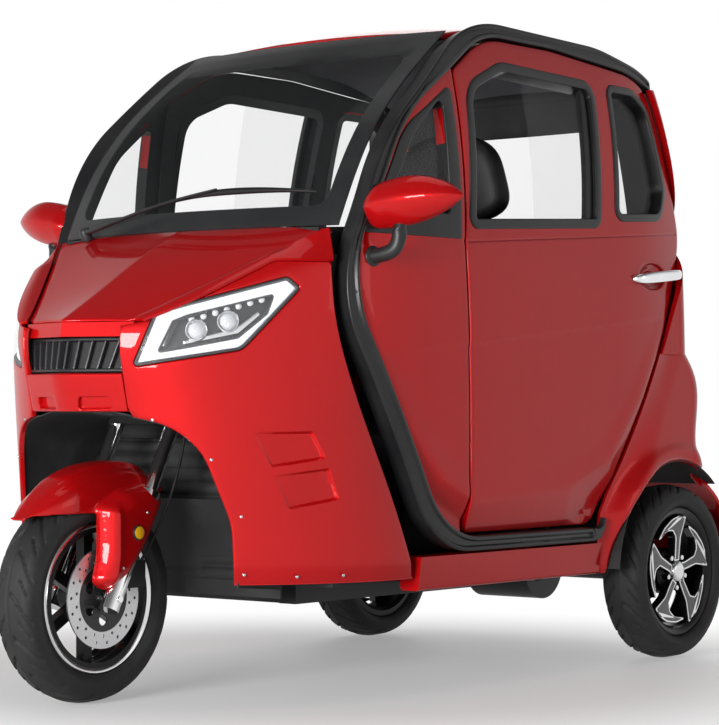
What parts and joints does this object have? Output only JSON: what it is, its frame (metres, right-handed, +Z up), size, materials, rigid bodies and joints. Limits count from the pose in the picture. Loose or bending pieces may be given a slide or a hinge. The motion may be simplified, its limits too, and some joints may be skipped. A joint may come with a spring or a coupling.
{
  "type": "cabin scooter",
  "caption": "Enclosed electric cabin scooter with a steered front wheel on a raked fork, wide-track rear wheels, hinged side doors and a glazed cab.",
  "frame": {"origin": "on the ground, in the middle of the overall length and width", "axes": "+Z up, -Y to the front of the vehicle, +X to its left side"},
  "size_m": [1.396, 2.1743, 1.6222],
  "materials": {
    "body_red": "metallic gloss",
    "black_trim": "satin",
    "tinted_glass": "gloss",
    "clear_glass": "gloss",
    "lamp": "clear gloss",
    "red_lamp": "gloss",
    "tyre": "matte",
    "black_alloy": "satin with machined edges",
    "steel": "brushed",
    "polished": "polished",
    "black_metal": "satin",
    "inner_trim": "matte",
    "seat_cover": "satin",
    "chrome": "polished"
  },
  "bodies": {
    "cabin": {"battery": "black_metal", "bow_left": "black_trim", "bow_right": "black_trim", "bumper": "body_red", "cabin_back": "body_red", "chassis": "black_metal", "dampers": "black_metal", "dashboard": "inner_trim", "driver_seat": "seat_cover", "fender_left": "body_red", "fender_right": "body_red", "firewall": "inner_trim", "floor": "inner_trim", "grille": "black_trim", "headlamp_left": "lamp", "headlamp_right": "lamp", "hood": "body_red", "mirror_left": "body_red", "mirror_right": "body_red", "nose_strip": "body_red", "rear_axle": "black_metal", "rear_bench": "seat_cover", "rear_deck": "inner_trim", "rear_window": "tinted_glass", "roof": "body_red", "side_glass_left": "tinted_glass", "side_glass_right": "tinted_glass", "side_panel_left": "body_red", "side_panel_right": "body_red", "sill_left": "body_red", "sill_right": "body_red", "tail_body": "body_red", "tail_lamp_left": "red_lamp", "tail_lamp_right": "red_lamp", "wheel_housing": "inner_trim", "windscreen": "clear_glass", "wiper": "black_trim"},
    "steering": {"fork": "polished", "handlebar": "black_metal", "front_mudguard": "body_red", "front_caliper": "black_metal", "brake_hose": "black_trim"},
    "front_wheel": {"front_tyre": "tyre", "front_rim": "black_alloy", "front_disc": "steel"},
    "rear_wheel_left": {"rear_rim_left": "black_alloy", "rear_tyre_left": "tyre"},
    "rear_wheel_right": {"rear_rim_right": "black_alloy", "rear_tyre_right": "tyre"},
    "left_door": {"door_left": "body_red", "door_glass_left": "tinted_glass", "door_handle_left": "chrome"},
    "right_door": {"door_right": "body_red", "door_glass_right": "tinted_glass", "door_handle_right": "chrome"}
  },
  "joints": [
    {"name": "steer", "type": "hinge", "parent": "cabin", "child": "steering", "pos_m": [0, -0.8105, 0.236], "axis": [0, 0.454, 0.891], "range_deg": [-35, 35]},
    {"name": "front_wheel_spin", "type": "hinge", "parent": "steering", "child": "front_wheel", "pos_m": [0, -0.8505, 0.236], "axis": [1, 0, 0], "continuous": true},
    {"name": "rear_left_spin", "type": "hinge", "parent": "cabin", "child": "rear_wheel_left", "pos_m": [0.4925, 0.8095, 0.228], "axis": [1, 0, 0], "continuous": true},
    {"name": "rear_right_spin", "type": "hinge", "parent": "cabin", "child": "rear_wheel_right", "pos_m": [-0.4925, 0.8095, 0.228], "axis": [1, 0, 0], "continuous": true},
    {"name": "left_door_hinge", "type": "hinge", "parent": "cabin", "child": "left_door", "pos_m": [0.524, -0.0955, 0.44], "axis": [0.0121, 0, -0.9999], "range_deg": [0, 65]},
    {"name": "right_door_hinge", "type": "hinge", "parent": "cabin", "child": "right_door", "pos_m": [-0.524, -0.0955, 0.44], "axis": [0.0121, 0, 0.9999], "range_deg": [0, 65]}
  ]
}
